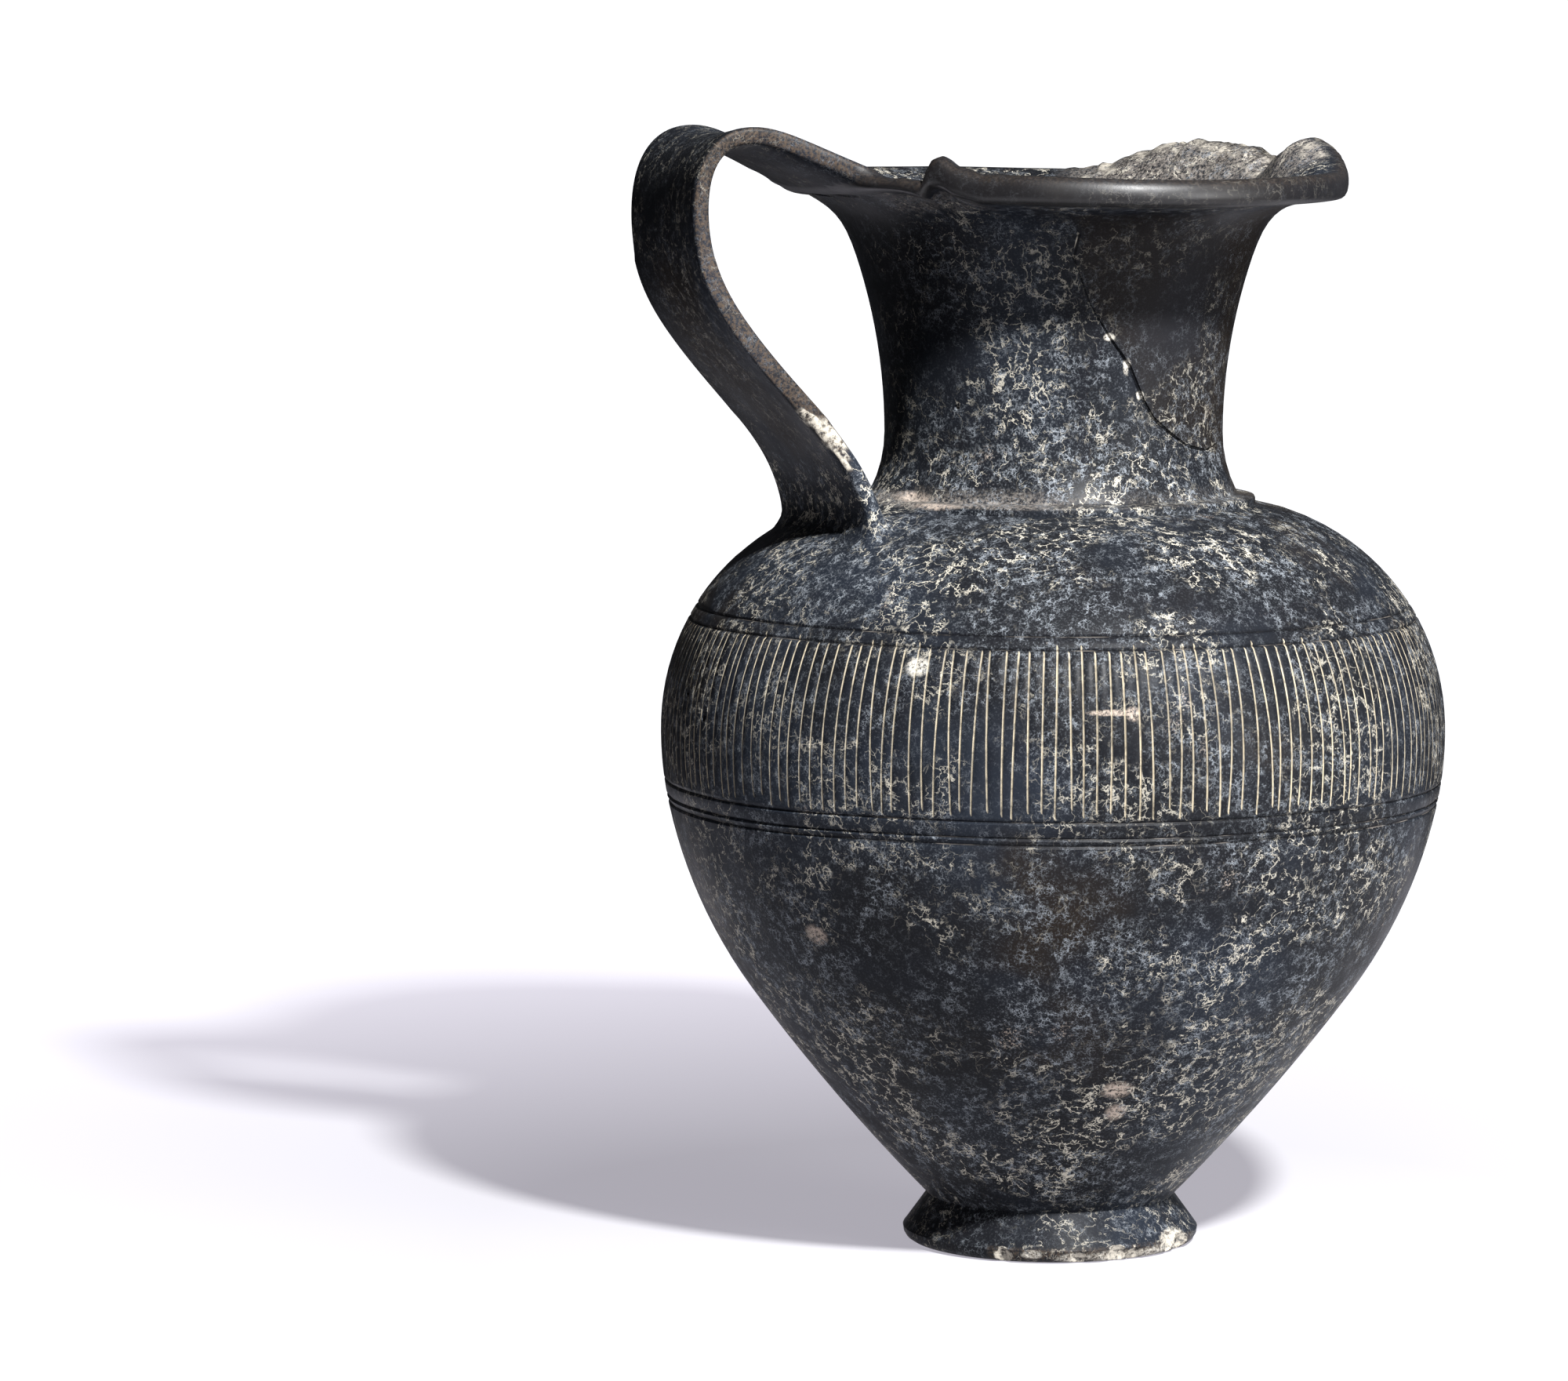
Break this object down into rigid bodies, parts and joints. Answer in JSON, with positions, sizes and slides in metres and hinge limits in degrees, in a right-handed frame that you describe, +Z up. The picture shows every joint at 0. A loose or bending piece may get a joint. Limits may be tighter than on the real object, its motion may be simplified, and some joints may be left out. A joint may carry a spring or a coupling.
{
  "type": "oinochoe jug",
  "caption": "Dark burnished clay wine jug: ovoid body on a ring foot, flaring broken-edged mouth, high strap handle and an incised band of upright lines.",
  "frame": {"origin": "middle of the foot ring, on its resting plane", "axes": "+Z up along the jug's axis, +X towards the spout, the handle towards -X"},
  "size_m": [0.2056, 0.1986, 0.2838],
  "materials": {
    "bucchero": "satin"
  },
  "bodies": {
    "root": {"oinochoe": "bucchero"}
  },
  "joints": []
}
